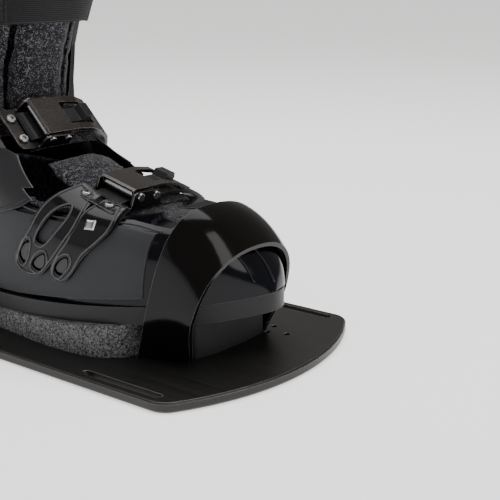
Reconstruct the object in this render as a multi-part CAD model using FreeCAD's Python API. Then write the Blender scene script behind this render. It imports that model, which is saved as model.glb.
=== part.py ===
import FreeCAD, Part
import math
import os

from FreeCAD import Vector

# Plate-mounted hard-shell water-sports binding, right foot, size about EU 42.
# Millimetres.  +X points at the toe, +Y at the big-toe (medial) side, +Z up.
# Origin: centre of the underside of the base plate.

# ---------------------------------------------------------------- plate
PLATE_LENGTH = 380.0
PLATE_WIDTH = 180.0
PLATE_THICK = 6.0
NOSE_RADIUS = 160.0
CORNER_RADIUS = 14.0
EDGE_CHAMFER = 1.0
SLOT_HALF_WIDTH = 2.75
SLOT_LENGTH = 60.0
SLOT_X = 126.0
SLOT_Y = 82.0
NOSE_HOLES = ((152.0, 38.0), (137.0, 45.0), (140.0, 34.0))
NOSE_HOLE_RADIUS = 2.1

# ---------------------------------------------------------------- boot stance
RAMP_DEG = 4.0                  # the boot stands toe-up on a ramped foam pad
SOLE_REF_X = 25.0
SOLE_REF_Z = 21.0
HEEL_X = -138.0
TOE_X = 162.0
RAND_HEEL = 8.0                 # height of the band round the sole
RAND_TOE = 11.5
WALL = 3.4                      # shell wall
SCREW_RADIUS = 3.0              # M6 screws through plate, pad and sole
PIVOT_RADIUS = 4.0
BUSH_RADIUS = 6.5

# plan outline of the sole: x, lateral y, medial y
SOLE_PLAN = (
    (-138.0, -6.0, -6.0), (-134.0, -24.0, 12.0), (-122.0, -38.0, 26.0),
    (-100.0, -46.0, 33.0), (-60.0, -50.0, 37.0), (-20.0, -57.0, 40.0),
    (25.0, -63.0, 43.0), (67.0, -61.0, 48.0), (95.0, -54.0, 50.5),
    (116.0, -45.0, 48.0), (132.0, -35.5, 43.0), (144.0, -25.0, 39.0),
    (153.0, -11.0, 32.5), (159.0, 1.0, 25.0), (162.0, 11.0, 11.0),
)
# height of the closed (or virtual) crown of the boot above the base frame
CROWN = ((-138.0, 126.0), (-100.0, 137.0), (-40.0, 136.0), (0.0, 126.0), (20.0, 117.0),
         (40.0, 106.5), (60.0, 97.0), (80.0, 91.5), (100.0, 89.0), (121.0, 86.5),
         (134.0, 83.0), (145.0, 74.0), (153.0, 63.5), (159.0, 51.0), (162.0, 40.0))
# upper edge of the open tub behind the toe cap
RIM = ((-150.0, 96.0), (-100.0, 100.0), (-60.0, 112.0), (-36.0, 112.0), (-4.0, 96.0),
       (40.0, 88.0), (70.0, 86.0), (97.0, 86.0), (119.0, 82.5))
THROAT_FRONT_X = 121.0

# ---------------------------------------------------------------- toe hood
HOOD_THICK = 2.8
HOOD_LEAN = 0.30                # forward lean of both edges of the hood
HOOD_MEDIAL = 2.6               # extra width of the hood over the big toe

# ---------------------------------------------------------------- cuff
PIVOT_X = -58.0
PIVOT_Z = 106.0
CUFF_GAP = 1.9                  # space between shell and cuff
CUFF_WALL = 3.0
CUFF_TOP = 222.0
FLEX_STEPS = (3.0, 6.0)         # forward turns, in degrees, that the cuff is relieved for
PANEL_THICK = 1.5
SHAFT = (  # z, rear x, front x, lateral half width, medial half width
    (74.0, -145.0, 52.0, 64.0, 50.0), (100.0, -144.0, 34.0, 63.5, 50.0),
    (118.0, -142.0, -2.0, 61.0, 50.0), (136.0, -137.0, -18.0, 57.0, 49.0),
    (160.0, -130.0, -17.0, 54.0, 49.0), (190.0, -123.0, -8.0, 54.0, 50.0),
    (226.0, -117.0, 6.0, 57.0, 53.0), (252.0, -114.0, 16.0, 59.0, 55.0),
)

# ---------------------------------------------------------------- closures
# crest of each strap: position, forward tilt, half span and drop of the medial half
INSTEP = {"x": 74.0, "y": 0.0, "z": 92.4, "tilt": 14.0, "span": 51.5, "drop": 40.0,
          "screw_x": (-13.0, 6.5), "lateral_span": 50.0, "lateral_drop": 40.0}
ANKLE = {"x": -11.0, "y": 10.0, "z": 126.5, "tilt": 46.0, "span": 44.5, "drop": 40.0,
         "screw_x": (-8.0, 8.0), "lateral_span": 77.0, "lateral_drop": 36.0}
BUCKLE_HALF = 14.0              # half width between the cheeks of a buckle base
CHEEK = 1.6
BASE_THICK = 1.8
LEVER_PIN_Y = -26.0
LEVER_PIN_H = 8.0
PAWL_PIN_Y = -12.5
PAWL_PIN_H = 7.2
PIN_RADIUS = 1.5
LEVER_LOW = 11.0                # underside and top of the lever plate over its pin
LEVER_HIGH = 12.8
LEVER_HALF = 13.6
FIT = 0.05                      # radial running clearance of every pin
STRAP_HALF = 10.5
STRAP_LOW = 2.1
STRAP_HIGH = 4.1
TOOTH = 0.7
TOOTH_PITCH = 3.6

os.makedirs("parts", exist_ok=True)


# ================================================================ helpers
def tangents(table, column):
    """Monotone slopes of one column of a table, for a smooth curve through it."""
    xs = [row[0] for row in table]
    ys = [row[column] for row in table]
    steps = [(ys[i + 1] - ys[i]) / (xs[i + 1] - xs[i]) for i in range(len(xs) - 1)]
    slopes = [steps[0]]
    for before, after in zip(steps, steps[1:]):
        same_way = before * after > 0
        slopes.append(2 * before * after / (before + after) if same_way else 0.0)
    slopes.append(steps[-1])
    return xs, ys, slopes


def along(table, column, x):
    """Smooth value of a table column at x."""
    xs, ys, slopes = tangents(table, column)
    x = min(max(x, xs[0]), xs[-1])
    i = max(k for k in range(len(xs) - 1) if xs[k] <= x)
    h = xs[i + 1] - xs[i]
    t = (x - xs[i]) / h
    return ((1 + 2 * t) * (1 - t) ** 2 * ys[i] + t * (1 - t) ** 2 * h * slopes[i]
            + t * t * (3 - 2 * t) * ys[i + 1] + t * t * (t - 1) * h * slopes[i + 1])


def sole_z(x):
    return SOLE_REF_Z + math.tan(math.radians(RAMP_DEG)) * (x - SOLE_REF_X)


def rand_height(x):
    share = (x - HEEL_X) / (TOE_X - HEEL_X)
    return RAND_HEEL + (RAND_TOE - RAND_HEEL) * share


def box(x0, x1, y0, y1, z0, z1):
    return Part.makeBox(x1 - x0, y1 - y0, z1 - z0, Vector(x0, y0, z0))


def rod(radius, length, start, direction):
    return Part.makeCylinder(radius, length, Vector(*start), Vector(*direction))


def spline(points, closed=True):
    curve = Part.BSplineCurve()
    vectors = [p if isinstance(p, Vector) else Vector(*p) for p in points]
    curve.interpolate(Points=vectors, PeriodicFlag=closed)
    return Part.Wire([curve.toShape()])


def extrude(wire, direction):
    return Part.Face(wire).extrude(Vector(*direction))


def polygon(points):
    vectors = [Vector(*p) for p in points]
    return Part.makePolygon(vectors + [vectors[0]])


def side_prism(points, y0, y1):
    """Region drawn in the side view (x, z), extruded across the boot."""
    return extrude(polygon([(x, y0, z) for x, z in points]), (0, y1 - y0, 0))


def side_blob(points, y0, y1):
    """Like side_prism, with a smooth closed outline."""
    return extrude(spline([(x, y0, z) for x, z in points]), (0, y1 - y0, 0))


def below_sole(offset=0.0):
    """Half space under the ramped sole plane, raised by offset."""
    slab = Part.makeBox(800, 400, 300, Vector(-400, -200, -300))
    slab.rotate(Vector(0, 0, 0), Vector(0, 1, 0), -RAMP_DEG)
    slab.translate(Vector(SOLE_REF_X, 0, SOLE_REF_Z + offset))
    return slab


def blended(shape, radius, edges):
    """Fillet, or the shape unchanged where the fillet can't be made."""
    try:
        result = shape.makeFillet(radius, edges)
        return result if result.isValid() and result.Volume > 0 else shape
    except Exception:
        return shape


def one_solid(shape):
    solids = sorted(shape.Solids, key=lambda s: s.Volume)
    return solids[-1]


def save(name, shape):
    if not shape.isValid():
        shape.fix(1e-3, 1e-3, 1e-3)
    box_ = shape.BoundBox
    print("%-26s %2d solids %9.0f mm3 valid=%s  x %6.1f..%6.1f y %6.1f..%6.1f z %6.1f..%6.1f" % (
        name, len(shape.Solids), shape.Volume, shape.isValid(),
        box_.XMin, box_.XMax, box_.YMin, box_.YMax, box_.ZMin, box_.ZMax))
    shape.exportStep("parts/%s.step" % name)


# ================================================================ boot skin
def boot_section(x, offset):
    """Cross-section of the boot at x, grown by offset (negative shrinks it)."""
    lateral = along(SOLE_PLAN, 1, x) - offset
    medial = along(SOLE_PLAN, 2, x) + offset
    low = sole_z(x) + 1.0 - offset
    high = along(CROWN, 1, x) + offset
    middle = low + 0.42 * (high - low)
    centre = 0.5 * (lateral + medial)
    half = 0.5 * (medial - lateral)
    toe_share = min(max((x - 100.0) / 60.0, 0.0), 1.0)
    lateral_power = 3.6 - 1.1 * toe_share
    medial_power = 2.5
    points = []
    count = 28
    for i in range(count):
        angle = 2 * math.pi * (i + 0.5) / count
        c, s = math.cos(angle), math.sin(angle)
        crown_power = medial_power if c > 0 else lateral_power
        n = crown_power if s > 0 else 5.0
        y = centre + half * math.copysign(abs(c) ** (2 / n), c)
        reach = (high - middle) if s > 0 else (middle - low)
        z = middle + reach * math.copysign(abs(s) ** (2 / n), s)
        points.append((x, y, z))
    return spline(points)


def boot_loft(offset):
    """The whole boot form, grown by offset."""
    rear = HEEL_X - offset
    front = TOE_X + offset
    stations = [-133.0, -122.0, -100.0, -75.0, -50.0, -20.0, 10.0, 40.0, 67.0, 90.0,
                108.0, 121.0, 133.0, 143.0, 151.0, 156.5, 160.2]
    wires = [scaled_end(rear, HEEL_X + 1.2, offset)]
    wires += [boot_section(x, offset) for x in stations]
    wires.append(scaled_end(front, TOE_X - 0.6, offset))
    return Part.makeLoft(wires, True, False)


def scaled_end(x_place, x_shape, offset):
    """Nearly flat end section placed at x_place with the shape found at x_shape."""
    wire = boot_section(x_shape, offset)
    wire.translate(Vector(x_place - x_shape, 0, 0))
    return wire


SKINS = {}


def skin(offset):
    if offset not in SKINS:
        SKINS[offset] = boot_loft(offset)
    return SKINS[offset]


def skin_patch(inner, outer, region):
    """Part of the layer between two offsets of the boot form that lies in a region."""
    return skin(outer).common(region).cut(skin(inner))


# ================================================================ base parts
def plate_outline(z):
    """Closed outline: straight long edges, arc nose and tail."""
    half_l, half_w = PLATE_LENGTH / 2, PLATE_WIDTH / 2
    drop = NOSE_RADIUS - math.sqrt(NOSE_RADIUS ** 2 - half_w ** 2)
    x = half_l - drop
    nose = Part.Arc(Vector(x, half_w, z), Vector(half_l, 0, z), Vector(x, -half_w, z))
    tail = Part.Arc(Vector(-x, -half_w, z), Vector(-half_l, 0, z), Vector(-x, half_w, z))
    near = Part.LineSegment(Vector(x, -half_w, z), Vector(-x, -half_w, z))
    far = Part.LineSegment(Vector(-x, half_w, z), Vector(x, half_w, z))
    return Part.Wire([nose.toShape(), near.toShape(), tail.toShape(), far.toShape()])


def stadium(x, y, length, half_width, z0, z1):
    run = length / 2 - half_width
    bar = box(x - run, x + run, y - half_width, y + half_width, z0, z1)
    ends = [rod(half_width, z1 - z0, (x + side * run, y, z0), (0, 0, 1)) for side in (-1, 1)]
    return bar.fuse(ends).removeSplitter()


MOUNT_SCREWS = [(x, side * 22.0) for x in (-104.0, -10.0) for side in (-1, 1)]
TOE_SCREWS = [(118.0, -22.0), (118.0, 22.0)]


def board_plate():
    plate = extrude(plate_outline(0), (0, 0, PLATE_THICK))
    corners = [e for e in plate.Edges
               if abs(e.BoundBox.ZLength - PLATE_THICK) < 1e-6 and e.BoundBox.XLength < 1e-6]
    plate = blended(plate, CORNER_RADIUS, corners)
    rims = [e for e in plate.Edges if e.BoundBox.ZLength < 1e-6]
    plate = plate.makeChamfer(EDGE_CHAMFER, rims)
    for side_x in (-1, 1):
        for side_y in (-1, 1):
            plate = plate.cut(stadium(side_x * SLOT_X, side_y * SLOT_Y, SLOT_LENGTH,
                                      SLOT_HALF_WIDTH, -1, PLATE_THICK + 1))
    for x, y in NOSE_HOLES:
        plate = plate.cut(rod(NOSE_HOLE_RADIUS, PLATE_THICK + 2, (x, y, -1), (0, 0, 1)))
    for x, y in MOUNT_SCREWS + TOE_SCREWS:
        plate = plate.cut(rod(SCREW_RADIUS + 0.05, PLATE_THICK + 2, (x, y, -1), (0, 0, 1)))
        plate = plate.cut(Part.makeCone(6.2, 3.0, 3.2, Vector(x, y, -0.01), Vector(0, 0, 1)))
    return plate


WEDGE_PLAN = ((-140.0, -6.0), (-132.0, -34.0), (-105.0, -50.0), (-60.0, -55.0),
              (-20.0, -60.0), (23.0, -65.0), (50.0, -67.0), (75.0, -65.5), (91.0, -60.5),
              (101.0, -50.0), (103.0, -30.0), (103.5, 10.0), (102.0, 40.0), (95.0, 53.0),
              (67.0, 53.0), (20.0, 49.0), (-20.0, 46.0), (-60.0, 43.0), (-105.0, 38.0),
              (-132.0, 22.0))


def riser_wedge():
    column = extrude(spline([(x, y, PLATE_THICK) for x, y in WEDGE_PLAN]), (0, 0, 60))
    wedge = column.common(below_sole())
    for x, y in MOUNT_SCREWS:
        wedge = wedge.cut(rod(SCREW_RADIUS + 0.1, 60, (x, y, 0), (0, 0, 1)))
    return one_solid(wedge)


def toe_riser():
    """Moulded block that carries the toe, between the legs of the hood."""
    plan = [(106.0, -42.0), (122.0, -38.5), (135.0, -29.0), (138.5, -15.0), (139.5, 12.0),
            (138.0, 32.0), (130.0, 39.0), (106.0, 42.5), (105.2, 20.0), (105.2, -20.0)]
    column = extrude(polygon([(x, y, PLATE_THICK) for x, y in plan]), (0, 0, 60))
    block = column.common(below_sole())
    uprights = [e for e in block.Edges if e.BoundBox.ZLength > 10
                and e.BoundBox.XLength < 1e-6 and e.BoundBox.YLength < 1e-6]
    block = blended(block, 3.0, uprights)
    for x, y in TOE_SCREWS:
        block = block.cut(rod(SCREW_RADIUS + 0.1, 60, (x, y, 0), (0, 0, 1)))
    return one_solid(block)


def band_space():
    """Half space under the top of the sole band."""
    slab = Part.makeBox(800, 400, 300, Vector(-400, -200, -300))
    lean = math.degrees(math.atan((RAND_TOE - RAND_HEEL) / (TOE_X - HEEL_X)))
    slab.rotate(Vector(0, 0, 0), Vector(0, 1, 0), -(RAMP_DEG + lean))
    slab.translate(Vector(SOLE_REF_X, 0, SOLE_REF_Z + rand_height(SOLE_REF_X)))
    return slab


def sole_rand():
    """Outsole with the band that shows round the foot of the shell."""
    lateral = [(x, y0) for x, y0, y1 in SOLE_PLAN]
    medial = [(x, y1) for x, y0, y1 in reversed(SOLE_PLAN[1:-1])]
    column = extrude(spline([(x, y, 0) for x, y in lateral + medial]), (0, 0, 80))
    band = column.common(band_space()).cut(below_sole())
    for x, y in MOUNT_SCREWS + TOE_SCREWS:
        band = band.cut(rod(SCREW_RADIUS + 0.1, 80, (x, y, 0), (0, 0, 1)))
    return one_solid(band)


# ================================================================ toe hood
def hood_arch(x_foot, half_foot, half_wide, rise, peak_y, powers, shrink):
    """Open arch from the lateral foot over the toe to the medial foot."""
    base_z = PLATE_THICK
    wide_z = base_z + 0.38 * rise
    count = 9
    points = []
    for side, power in zip((-1, 1), powers):
        wide = half_wide + (HOOD_MEDIAL if side > 0 else 0.0)
        reach = wide - side * peak_y - shrink
        leg = [(side * (half_foot - shrink), base_z),
               (side * (0.45 * half_foot + 0.55 * wide - shrink), 0.5 * (base_z + wide_z))]
        for i in range(count):
            angle = math.pi / 2 * i / (count - 1)
            y = peak_y + side * reach * math.cos(angle) ** (2 / power)
            z = wide_z + (0.62 * rise - shrink) * math.sin(angle) ** (2 / power)
            leg.append((y, z))
        points += leg if side < 0 else list(reversed(leg))[1:]
    return [Vector(x_foot + HOOD_LEAN * (z - base_z), y, z) for y, z in points]


def hood_section(share, shrink):
    """Arch at a share of the way from the rear edge (0) to the front edge (1)."""
    x_foot = 106.5 + 30.0 * share
    rise = 90.0 - 24.0 * share + 3.0 * math.sin(math.pi * min(max(share, 0.0), 1.0))
    powers = (3.1 - 0.8 * share, 2.2 + 0.2 * share)
    return hood_arch(x_foot, 49.0 - 12.0 * share, 50.5 - 6.0 * share, rise,
                     -13.0 * (1 - share), powers, shrink)


def hood_loft(shrink, reach):
    wires = []
    for share in (0.0 - reach, 0.33, 0.67, 1.0 + reach):
        arch = hood_section(share, shrink)
        curve = Part.BSplineCurve()
        curve.interpolate(arch)
        close = Part.LineSegment(arch[-1], arch[0])
        wires.append(Part.Wire([curve.toShape(), close.toShape()]))
    return Part.makeLoft(wires, True, False)


def toe_hood():
    hood = hood_loft(0.0, 0.0).cut(hood_loft(HOOD_THICK, 0.05)).cut(skin(0.3))
    return one_solid(hood)


# ================================================================ shell
def rim_region(lift=0.0, y_half=120.0):
    """Everything above the upper edge of the tub, behind the toe cap."""
    points = [(x, z + lift) for x, z in RIM]
    points += [(THROAT_FRONT_X, 84.0 + lift), (THROAT_FRONT_X + 1.0, 100.0 + lift),
               (THROAT_FRONT_X + 1.0, 300.0), (-200.0, 300.0), (-200.0, 96.0 + lift)]
    return side_prism(points, -y_half, y_half)


def lower_shell():
    """Moulded tub of the boot with its closed toe cap."""
    outer = skin(0.0).cut(rim_region()).cut(band_space())
    shell = outer.cut(skin(-WALL))
    for y0 in (-80.0, 20.0):
        shell = shell.cut(rod(PIVOT_RADIUS, 60, (PIVOT_X, y0, PIVOT_Z), (0, 1, 0)))
    return one_solid(shell.cut(placed(anchor_screw(INSTEP), INSTEP)))


def side_panel(side):
    """Matte panel moulded over the side of the shell."""
    top = [(-60.0, 88.0), (-20.0, 88.0), (20.0, 86.0), (60.0, 83.0), (95.0, 83.5),
           (115.0, 80.5)]
    bottom = [(111.5, sole_z(111) + 16.5), (66.0, sole_z(66) + 14.5),
              (20.0, sole_z(20) + 12.5), (-60.0, sole_z(-60) + 12.0)]
    span = (-110.0, 0.0) if side < 0 else (0.0, 110.0)
    region = side_prism(top + bottom, *span)
    return one_solid(skin_patch(0.0, PANEL_THICK, region))


def heel_counter():
    region = side_prism([(-160.0, 26.0), (-160.0, 80.0), (-100.0, 76.0), (-72.0, 60.0),
                         (-72.0, 30.0)], -110.0, 110.0)
    return one_solid(skin_patch(0.0, PANEL_THICK, region))


# ================================================================ soft parts
def liner_boot():
    points = [(-150.0, 99.0), (-60.0, 99.0), (0.0, 96.0), (60.0, 88.5), (112.0, 84.0),
              (112.0, 300.0), (-150.0, 300.0)]
    outer = skin(-WALL - 0.6).cut(side_prism(points, -120, 120)).cut(band_space())
    room = skin(-WALL - 7.0).cut(foot_bed_space())
    throat = tongue_region(0.6).cut(skin(-WALL - 7.5))
    return one_solid(outer.cut(room).cut(throat))


def foot_bed_space():
    """Half space under the foot bed of the liner."""
    slab = band_space()
    slab.translate(Vector(0, 0, 5.0))
    return slab


def tongue_region(margin):
    """Column over the throat, wider than the tongue by a margin on every side."""
    plan = [(16.0, -34.0), (60.0, -41.0), (100.0, -39.0), (116.0, -33.0), (117.0, 0.0),
            (116.0, 36.0), (100.0, 40.0), (60.0, 38.0), (16.0, 34.0)]
    middle = 66.0
    corners = [(x + math.copysign(margin, x - middle), y + math.copysign(margin, y), 70.0)
               for x, y in plan]
    return extrude(polygon(corners), (0, 0, 90))


def tongue():
    """Padded tongue that closes the throat under the instep strap."""
    pad = skin(-4.2).common(tongue_region(0.0)).cut(skin(-10.5))
    return one_solid(pad)


def shaft_section(z, inset):
    """Horizontal section of the cuff form at height z, shrunk by inset."""
    rear = along(SHAFT, 1, z) + inset
    front = along(SHAFT, 2, z) - inset
    lateral = along(SHAFT, 3, z) - inset
    medial = along(SHAFT, 4, z) - inset
    centre, half = 0.5 * (rear + front), 0.5 * (front - rear)
    points = []
    count = 24
    for i in range(count):
        angle = 2 * math.pi * (i + 0.5) / count
        c, s = math.cos(angle), math.sin(angle)
        n = 3.0 if c > 0 else 2.3
        x = centre + half * math.copysign(abs(c) ** (2 / n), c)
        width = medial if s > 0 else lateral
        points.append((x, width * math.copysign(abs(s) ** (2 / n), s), z))
    return spline(points)


def shaft_form(inset, z0, z1):
    levels = [z0] + [row[0] for row in SHAFT if z0 + 6 < row[0] < z1 - 6] + [z1]
    return Part.makeLoft([shaft_section(z, inset) for z in levels], True, False)


def strap_channel(spec, low, half):
    """Everything outward of the strap's arch, at the strap's place."""
    medial = arch_line(spec, low, 12)
    lateral = [(-y, z) for y, z in arch_line(lateral_half(spec), low, 12)]
    arch = list(reversed(lateral)) + medial[1:]
    profile = arch + [(arch[-1][0], 60.0), (arch[0][0], 60.0)]
    return placed(across(profile, half), spec)


def cuff_liner():
    """Padded shaft that turns with the cuff."""
    body = shaft_form(CUFF_WALL + 0.8, 120.0, CUFF_TOP + 16.0)
    hole = shaft_form(CUFF_WALL + 11.0, 118.0, CUFF_TOP + 20.0)
    slit = side_prism([(-36.0, 100.0), (-36.0, 260.0), (60.0, 260.0), (60.0, 100.0)],
                      -24.0, 24.0)
    body = body.cut(hole).cut(slit)
    return one_solid(body.cut(strap_channel(ANKLE, -3.2, 17.0)))


def shin_tongue():
    body = shaft_form(CUFF_WALL - 1.5, 120.0, CUFF_TOP + 24.0)
    hole = shaft_form(CUFF_WALL + 8.5, 118.0, CUFF_TOP + 28.0)
    front = side_prism([(-35.0, 100.0), (-35.0, 260.0), (60.0, 260.0), (60.0, 100.0)],
                       -23.4, 23.4)
    body = body.cut(hole).common(front)
    return one_solid(body.cut(strap_channel(ANKLE, -3.2, 17.0)))


def boot_past_cuff(turn):
    """The boot and its side panels, with a little room, as the turned cuff meets them."""
    stations = (-90.0, -60.0, -30.0, 0.0, 30.0, 60.0, 90.0)
    tools = []
    for offset, ceiling in ((0.4, 160.0), (PANEL_THICK + 0.4, 91.0)):
        form = Part.makeLoft([boot_section(x, offset) for x in stations], True, False)
        tool = form.common(box(-95.0, 95.0, -120.0, 120.0, 50.0, ceiling))
        tool.rotate(Vector(PIVOT_X, 0, PIVOT_Z), Vector(0, 1, 0), -turn)
        tools.append(tool)
    return tools


def cuff():
    body = shaft_form(0.0, 76.0, CUFF_TOP)
    body = body.cut(shaft_form(CUFF_WALL, 74.0, CUFF_TOP + 2.0))
    keep = [(-160.0, 92.0), (-110.0, 80.0), (-60.0, 78.0), (0.0, 80.0), (16.0, 84.0),
            (26.0, 92.0), (14.0, 112.0), (-14.0, 126.0), (-34.0, 150.0), (-36.0, 175.0),
            (-28.0, 200.0), (-22.0, CUFF_TOP + 1.0), (-160.0, CUFF_TOP + 1.0)]
    body = body.common(side_prism(keep, -90, 90)).cut(skin(CUFF_GAP))
    body = one_solid(body)
    lateral_wing = [(-14.0, 81.0), (10.0, 83.0), (30.0, 89.0), (44.0, 98.0), (47.0, 104.0),
                    (26.0, 115.0), (4.0, 120.0), (-14.0, 120.0)]
    medial_wing = [(-14.0, 81.0), (10.0, 83.0), (24.0, 87.0), (29.0, 92.0), (20.0, 100.0),
                   (2.0, 108.0), (-14.0, 112.0)]
    for outline, span in ((lateral_wing, (-110.0, -20.0)), (medial_wing, (20.0, 110.0))):
        region = side_prism(outline, *span)
        wing = one_solid(skin_patch(CUFF_GAP, CUFF_GAP + 3.3, region))
        body = one_solid(body.fuse(wing))
    for turn in FLEX_STEPS:
        for tool in boot_past_cuff(turn):
            body = one_solid(body.cut(tool))
    for y0 in (-80.0, 20.0):
        body = body.cut(rod(BUSH_RADIUS, 60, (PIVOT_X, y0, PIVOT_Z), (0, 1, 0)))
    body = body.cut(placed(strap_pad(ANKLE), ANKLE)).cut(placed(anchor_screw(ANKLE), ANKLE))
    return one_solid(body.cut(placed(side_strap(ANKLE), ANKLE)))


def pivot_y(side):
    """Outer face of the cuff beside the pivot."""
    widths = 3 if side < 0 else 4
    return along(SHAFT, widths, PIVOT_Z)


def pivot_bush(side):
    """Flanged bush pressed into the cuff, turning on the pivot bolt."""
    face = pivot_y(side)
    tube = rod(BUSH_RADIUS, 6.0, (PIVOT_X, side * (face - 6.0), PIVOT_Z), (0, side, 0))
    flange = rod(9.0, 1.4, (PIVOT_X, side * face, PIVOT_Z), (0, side, 0))
    bore = rod(PIVOT_RADIUS + FIT, 30, (PIVOT_X, side * (face - 12), PIVOT_Z), (0, side, 0))
    return one_solid(tube.fuse(flange).cut(bore))


def pivot_bolt(side):
    """Shoulder bolt fixed in the shell wall, with a domed head outside the cuff."""
    face = pivot_y(side)
    inner = face - 22.0
    shank = rod(PIVOT_RADIUS, face + 2.0 - inner, (PIVOT_X, side * inner, PIVOT_Z),
                (0, side, 0))
    head = rod(8.0, 2.6, (PIVOT_X, side * (face + 1.6), PIVOT_Z), (0, side, 0))
    outer = [e for e in head.Edges
             if abs(e.BoundBox.Center.y - side * (face + 4.2)) < 0.01]
    head = blended(head, 1.6, outer)
    socket = rod(2.6, 2.0, (PIVOT_X, side * (face + 2.9), PIVOT_Z), (0, side, 0))
    return one_solid(shank.fuse(head).cut(socket))


def power_strap():
    """Webbing closure round the top of the cuff."""
    z0, z1 = 192.0, 216.0
    ring = shaft_form(-2.0, z0, z1).cut(shaft_form(-0.4, z0 - 2, z1 + 2))
    rear_gap = box(-200.0, -70.0, -90.0, 90.0, z0 - 5, z1 + 5)
    return one_solid(ring.cut(rear_gap))


# ================================================================ fasteners
def screws_up(places):
    group = []
    for x, y in places:
        length = sole_z(x) + 5.0
        shank = rod(SCREW_RADIUS, length, (x, y, 0.3), (0, 0, 1))
        head = Part.makeCone(6.0, SCREW_RADIUS, 3.0, Vector(x, y, 0.3), Vector(0, 0, 1))
        socket = rod(2.0, 2.0, (x, y, 0.2), (0, 0, 1))
        group.append(shank.fuse(head).cut(socket))
    return Part.makeCompound(group)


# ================================================================ lateral arms
ARM_REAR = ((59.5, 104.0), (50.5, 98.5), (43.0, 88.0), (36.5, 77.0), (30.0, 67.0),
            (24.5, 54.5), (32.0, 48.5), (45.0, 49.5), (54.0, 57.0), (64.0, 69.0),
            (72.0, 83.0), (70.5, 95.0))
ARM_REAR_WINDOW = ((61.5, 92.0), (54.5, 89.0), (48.0, 80.0), (43.5, 71.0), (49.5, 69.5),
                   (57.0, 77.5), (63.5, 86.0))
ARM_REAR_KEYS = (
    ((38.0, 70.5), (32.5, 68.0), (28.5, 59.0), (32.0, 55.0), (36.0, 62.0)),
    ((50.0, 64.5), (44.0, 61.5), (39.0, 55.0), (44.5, 52.5), (51.0, 58.5)),
)
ARM_FRONT = ((81.5, 99.0), (74.0, 94.0), (71.0, 86.0), (66.0, 74.0), (58.5, 62.0),
             (55.0, 52.0), (62.0, 48.0), (70.0, 53.5), (79.0, 65.5), (88.0, 75.0),
             (93.0, 83.0), (91.0, 91.0))
ARM_FRONT_KEY = ((68.0, 65.0), (62.0, 62.0), (58.0, 54.5), (62.5, 52.5), (69.0, 60.0))


def arm(outline, holes):
    """Curved strap arm lying on the lateral side of the boot."""
    region = side_blob(outline, -110.0, -36.0)
    for hole in holes:
        region = region.cut(side_blob(hole, -111.0, -35.0))
    return one_solid(skin_patch(1.9, 4.1, region))


def arm_studs():
    """Bean-shaped studs of the shell that the arms hook over."""
    studs = []
    for hole in ARM_REAR_KEYS + (ARM_FRONT_KEY,):
        cx = sum(x for x, z in hole) / len(hole)
        cz = sum(z for x, z in hole) / len(hole)
        inner = [(cx + 0.72 * (x - cx), cz + 0.72 * (z - cz)) for x, z in hole]
        studs.append(one_solid(skin_patch(PANEL_THICK, 3.6, side_blob(inner, -110.0, -40.0))))
    return Part.makeCompound(studs)


# ================================================================ ratchet buckles
def placed(shape, spec):
    """From the buckle's own frame (x across the strap, z outward) to the boot."""
    copy = shape.copy()
    copy.rotate(Vector(0, 0, 0), Vector(0, 1, 0), spec["tilt"])
    copy.translate(Vector(spec["x"], spec["y"], spec["z"]))
    return copy


def across(points, half):
    """Profile (y, z) of the buckle's own frame, extruded to both sides of x = 0."""
    wire = polygon([(-half, y, z) for y, z in points])
    return extrude(wire, (2 * half, 0, 0))


def buckle_base(screw_x):
    base = box(-BUCKLE_HALF - CHEEK, BUCKLE_HALF + CHEEK, -47.0, -3.0, 0.0, BASE_THICK)
    base = blended(base, 4.0, [e for e in base.Edges if e.BoundBox.ZLength > 1.0])
    cheek = [(-33.0, 0.5), (-31.0, 10.2), (-28.5, 11.2), (-22.0, 11.2), (-10.0, 10.4),
             (-8.6, 9.4), (-7.0, 0.5)]
    for side in (-1, 1):
        wall = across(cheek, CHEEK / 2)
        wall.translate(Vector(side * (BUCKLE_HALF + CHEEK / 2), 0, 0))
        base = base.fuse(wall)
    for y, z in ((LEVER_PIN_Y, LEVER_PIN_H), (PAWL_PIN_Y, PAWL_PIN_H)):
        base = base.cut(rod(PIN_RADIUS, 60, (-30, y, z), (1, 0, 0)))
    for x in screw_x:
        base = base.cut(rod(1.6, 8, (x, -41.5, -2), (0, 0, 1)))
    return one_solid(base)


def rivet_pin(y, z):
    reach = BUCKLE_HALF + CHEEK + 0.1
    pin = rod(PIN_RADIUS, 2 * reach, (-reach, y, z), (1, 0, 0))
    for side in (-1, 1):
        head = rod(2.7, 1.3, (side * reach, y, z), (side, 0, 0))
        rim = [e for e in head.Edges if abs(e.BoundBox.Center.x - side * (reach + 1.3)) < 0.01]
        pin = pin.fuse(blended(head, 0.7, rim))
    return one_solid(pin)


def lever_sleeve():
    """Bright barrel on the lever pin, between the lever's cheeks."""
    sleeve = rod(2.9, 23.6, (-11.8, LEVER_PIN_Y, LEVER_PIN_H), (1, 0, 0))
    return sleeve.cut(rod(PIN_RADIUS + FIT, 60, (-30, LEVER_PIN_Y, LEVER_PIN_H), (1, 0, 0)))


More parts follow.
